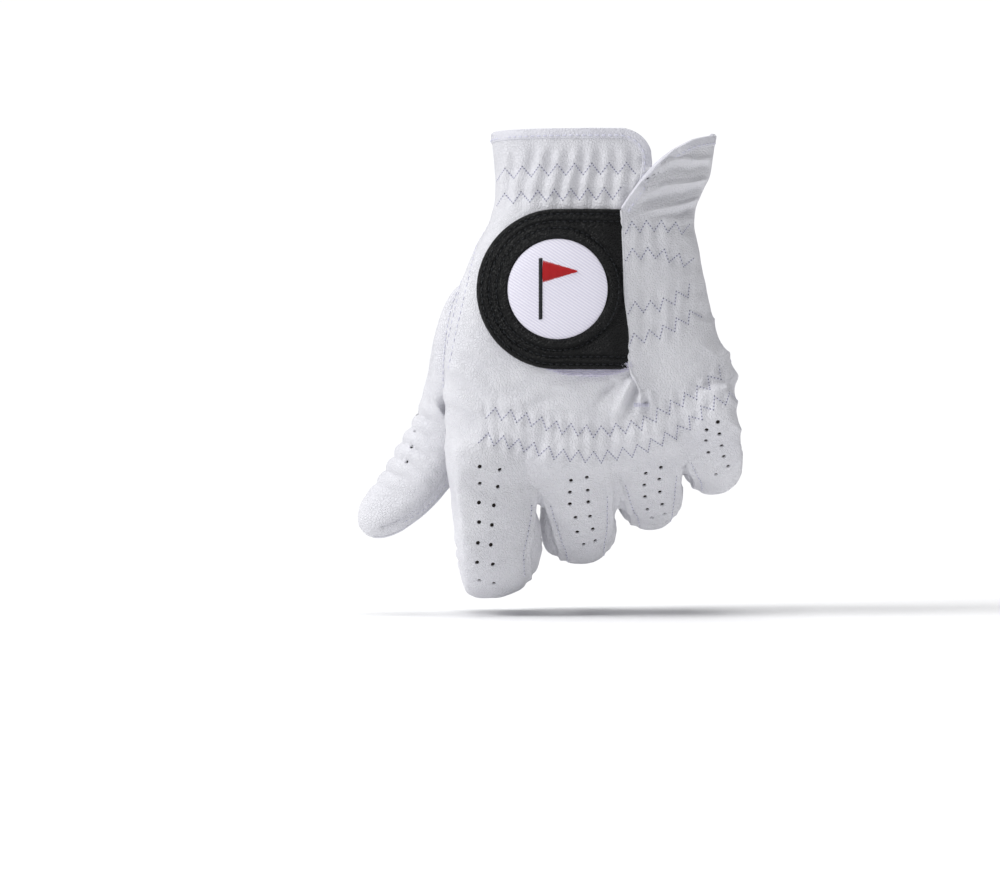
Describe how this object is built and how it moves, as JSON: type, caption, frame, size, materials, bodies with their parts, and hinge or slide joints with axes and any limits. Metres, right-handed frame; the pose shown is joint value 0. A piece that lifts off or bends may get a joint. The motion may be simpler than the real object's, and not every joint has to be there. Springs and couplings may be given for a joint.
{
  "type": "golf glove",
  "caption": "Left-hand leather golf glove, formed as if gripping a club, with a hook-and-loop wrist tab, elasticated panels, jointed finger stalls and a flexing thumb.",
  "frame": {"origin": "centre of the cuff opening", "axes": "+Z out of the cuff along the forearm, +X towards the little finger side, +Y out of the palm"},
  "size_m": [0.1398, 0.093, 0.1688],
  "materials": {
    "white_leather": "soft full-grain, lightly grained",
    "white_binding": "soft thin binding",
    "black_leather": "grained, satin",
    "white_thread": "twisted thread",
    "loop_tape": "brushed loop",
    "hook_tape": "moulded hook tape",
    "elastic": "woven elastic",
    "label_cloth": "woven tape",
    "badge_cloth": "fine twill",
    "motif_thread": "satin stitch",
    "flag_thread": "satin stitch"
  },
  "bodies": {
    "hand": {"back_leather": "white_leather", "side_leather": "white_leather", "palm_leather": "white_leather", "cuff_binding": "white_binding", "side_binding": "white_binding", "placket_binding": "white_binding", "placket_bar": "white_thread", "loop_pad": "loop_tape", "wrist_elastic": "elastic", "side_elastics": "elastic", "size_label": "label_cloth", "knuckle_back_leather": "white_leather", "knuckle_palm_leather": "white_leather", "knuckle_elastic": "elastic", "thumb_base_leather": "white_leather"},
    "fingers": {"index_back": "white_leather", "index_front": "white_leather", "index_fourchette": "white_leather", "index_bend_leather": "white_leather", "middle_back": "white_leather", "middle_front": "white_leather", "middle_fourchettes": "white_leather", "middle_bend_leather": "white_leather", "ring_back": "white_leather", "ring_front": "white_leather", "ring_fourchettes": "white_leather", "ring_bend_leather": "white_leather", "little_back": "white_leather", "little_front": "white_leather", "little_fourchette": "white_leather", "little_bend_leather": "white_leather"},
    "thumb": {"thumb_back": "white_leather", "thumb_front": "white_leather", "thumb_seam_welt": "white_binding"},
    "tab": {"tab_leather": "black_leather", "tab_hook_pad": "hook_tape", "tab_piping": "black_leather", "badge_disc": "badge_cloth", "badge_pin": "motif_thread", "badge_flag": "flag_thread"},
    "index_end": {"index_end": "white_leather", "index_end_cap": "white_leather"},
    "middle_end": {"middle_end": "white_leather", "middle_end_cap": "white_leather"},
    "ring_end": {"ring_end": "white_leather", "ring_end_cap": "white_leather"},
    "little_end": {"little_end": "white_leather", "little_end_cap": "white_leather"}
  },
  "joints": [
    {"name": "knuckle_flex", "type": "hinge", "parent": "hand", "child": "fingers", "pos_m": [-0.004, 0, -0.1015], "axis": [0.9781, 0, 0.2079], "range_deg": [-25, 10], "deforming": ["knuckle_back_leather", "knuckle_palm_leather", "knuckle_elastic"]},
    {"name": "index_flex", "type": "hinge", "parent": "fingers", "child": "index_end", "pos_m": [-0.03696, 0.01047, -0.15299], "axis": [0.9945, 0, 0.1045], "range_deg": [-70, 0], "deforming": ["index_bend_leather"]},
    {"name": "middle_flex", "type": "hinge", "parent": "fingers", "child": "middle_end", "pos_m": [-0.00644, 0.02557, -0.14459], "axis": [0.9877, 0, 0.1564], "range_deg": [-70, 0], "deforming": ["middle_bend_leather"]},
    {"name": "ring_flex", "type": "hinge", "parent": "fingers", "child": "ring_end", "pos_m": [0.01839, 0.02434, -0.13192], "axis": [0.9863, 0, 0.165], "range_deg": [-70, 0], "deforming": ["ring_bend_leather"]},
    {"name": "little_flex", "type": "hinge", "parent": "fingers", "child": "little_end", "pos_m": [0.04074, 0.01833, -0.11887], "axis": [0.9848, 0, 0.1736], "range_deg": [-70, 0], "deforming": ["little_bend_leather"]},
    {"name": "thumb_flex", "type": "hinge", "parent": "hand", "child": "thumb", "pos_m": [-0.05512, 0.02263, -0.10218], "axis": [0, 1, 0], "range_deg": [0, 25], "deforming": ["thumb_base_leather"]},
    {"name": "tab_lift", "type": "hinge", "parent": "hand", "child": "tab", "pos_m": [0.00592, -0.02141, -0.056], "axis": [0, 0, 1], "range_deg": [0, 110]}
  ]
}
